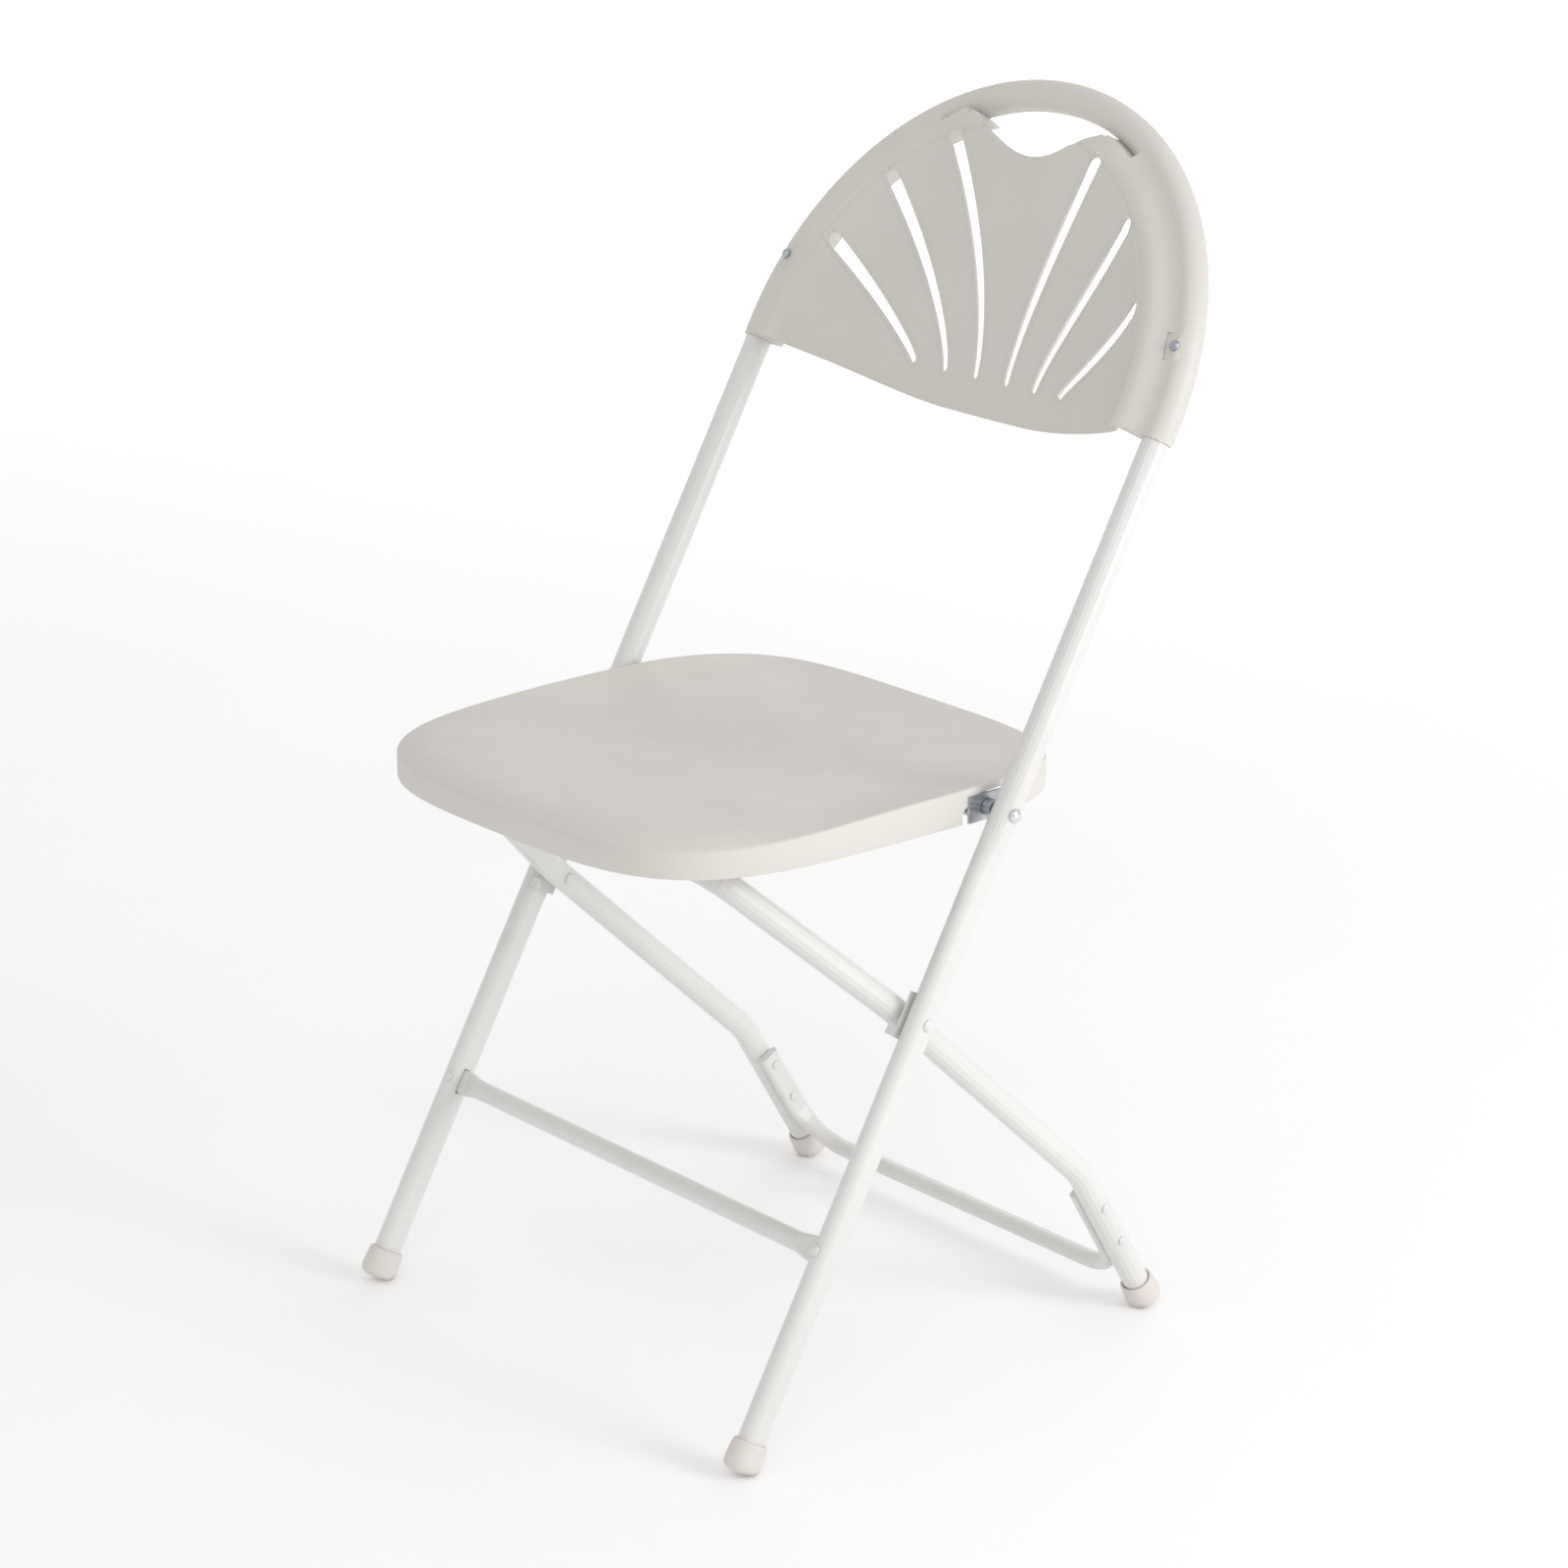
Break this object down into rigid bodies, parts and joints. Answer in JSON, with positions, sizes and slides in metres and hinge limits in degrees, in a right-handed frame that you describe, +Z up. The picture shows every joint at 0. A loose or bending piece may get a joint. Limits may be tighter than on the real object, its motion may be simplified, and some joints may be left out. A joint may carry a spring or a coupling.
{
  "type": "folding chair",
  "caption": "White folding chair with a rounded seat, a slotted fan back with a hand hole, crossed tube legs and foot caps.",
  "frame": {"origin": "centre of the chair's footprint box, on the floor", "axes": "+Z up, the chair faces -Y, +X is the sitter's left; shown opened for sitting"},
  "size_m": [0.4358, 0.5208, 0.8471],
  "materials": {
    "white_powder_coat": "satin powder coat",
    "seat_plastic": "fine matt grain",
    "back_plastic": "fine matt grain",
    "foot_cap_plastic": "matt",
    "chrome": "polished",
    "zinc_plate": "bright zinc plate"
  },
  "bodies": {
    "frame": {"back_frame_tube": "white_powder_coat", "front_brace": "white_powder_coat", "front_brace_rivet_left": "white_powder_coat", "front_brace_rivet_right": "white_powder_coat", "seat_pivot_rivet_left": "chrome", "seat_pivot_rivet_right": "chrome", "seat_pivot_spacer_left": "zinc_plate", "seat_pivot_spacer_right": "zinc_plate", "cross_pivot_rivet_left": "white_powder_coat", "cross_pivot_rivet_right": "white_powder_coat", "stop_bracket_left": "white_powder_coat", "stop_bracket_right": "white_powder_coat", "back_shell": "back_plastic", "back_screw_left": "zinc_plate", "back_screw_right": "zinc_plate", "front_foot_cap_left": "foot_cap_plastic", "front_foot_cap_right": "foot_cap_plastic"},
    "rear_legs": {"rear_leg_frame": "white_powder_coat", "rear_brace": "white_powder_coat", "rear_brace_rivet_lower_left": "white_powder_coat", "rear_brace_rivet_lower_right": "white_powder_coat", "rear_brace_rivet_upper_left": "white_powder_coat", "rear_brace_rivet_upper_right": "white_powder_coat", "rear_foot_cap_left": "foot_cap_plastic", "rear_foot_cap_right": "foot_cap_plastic"},
    "seat": {"seat_shell": "seat_plastic", "seat_rail_left": "zinc_plate", "seat_rail_right": "zinc_plate", "seat_hinge_bracket_left": "zinc_plate", "seat_hinge_bracket_right": "zinc_plate", "rail_screw_front_left": "zinc_plate", "rail_screw_front_right": "zinc_plate", "rail_screw_rear_left": "zinc_plate", "rail_screw_rear_right": "zinc_plate", "bracket_screw_front_left": "zinc_plate", "bracket_screw_front_right": "zinc_plate", "bracket_screw_rear_left": "zinc_plate", "bracket_screw_rear_right": "zinc_plate"}
  },
  "joints": [
    {"name": "seat_fold", "type": "hinge", "parent": "frame", "child": "seat", "pos_m": [0, 0.00892, 0.413], "axis": [-1, 0, 0], "range_deg": [0, 110]},
    {"name": "leg_fold", "type": "hinge", "parent": "frame", "child": "rear_legs", "pos_m": [0, -0.0655, 0.282], "axis": [-1, 0, 0], "range_deg": [0, 70]}
  ],
  "couplings": [
    {"joint": "leg_fold", "follows": "seat_fold", "ratio": 0.63636}
  ]
}
